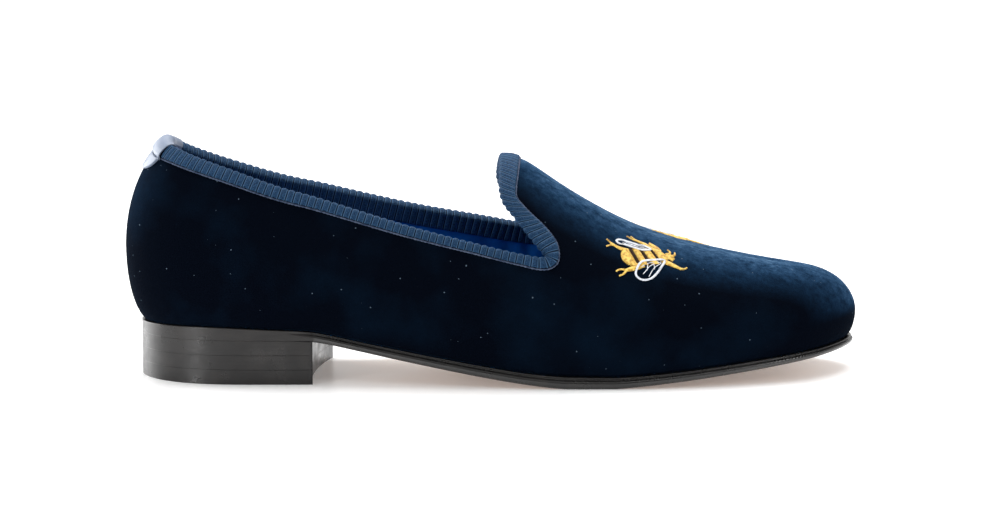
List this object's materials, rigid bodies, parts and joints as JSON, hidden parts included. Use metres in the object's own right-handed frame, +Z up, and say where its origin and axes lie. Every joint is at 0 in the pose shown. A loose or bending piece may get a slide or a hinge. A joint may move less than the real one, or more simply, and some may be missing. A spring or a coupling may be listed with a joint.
{
  "type": "velvet slipper loafer",
  "caption": "Low-cut velvet slipper with a ribbed collar binding, leather heel tab, thin leather sole and low stacked heel.",
  "frame": {"origin": "middle of the bounding box on the ground plane", "axes": "+X to the toe, +Y to the medial side of the foot, +Z up"},
  "size_m": [0.2586, 0.082, 0.0841],
  "materials": {
    "navy_velvet": "cotton velvet with a short nap, navy blue",
    "ribbed_tape": "wide-ribbed grosgrain tape, matt navy",
    "tab_leather": "smooth polished calf, navy",
    "blue_sock": "satin over board, bright blue",
    "sole_leather": "black waxed edge, smooth sole leather",
    "heel_leather": "stacked lifts, black and waxed"
  },
  "bodies": {
    "root": {"upper": "navy_velvet", "collar_binding": "ribbed_tape", "heel_tab": "tab_leather", "insole": "blue_sock", "outsole": "sole_leather", "heel_seat_lift": "heel_leather", "heel_lift": "heel_leather", "heel_top_piece": "heel_leather"}
  },
  "joints": []
}
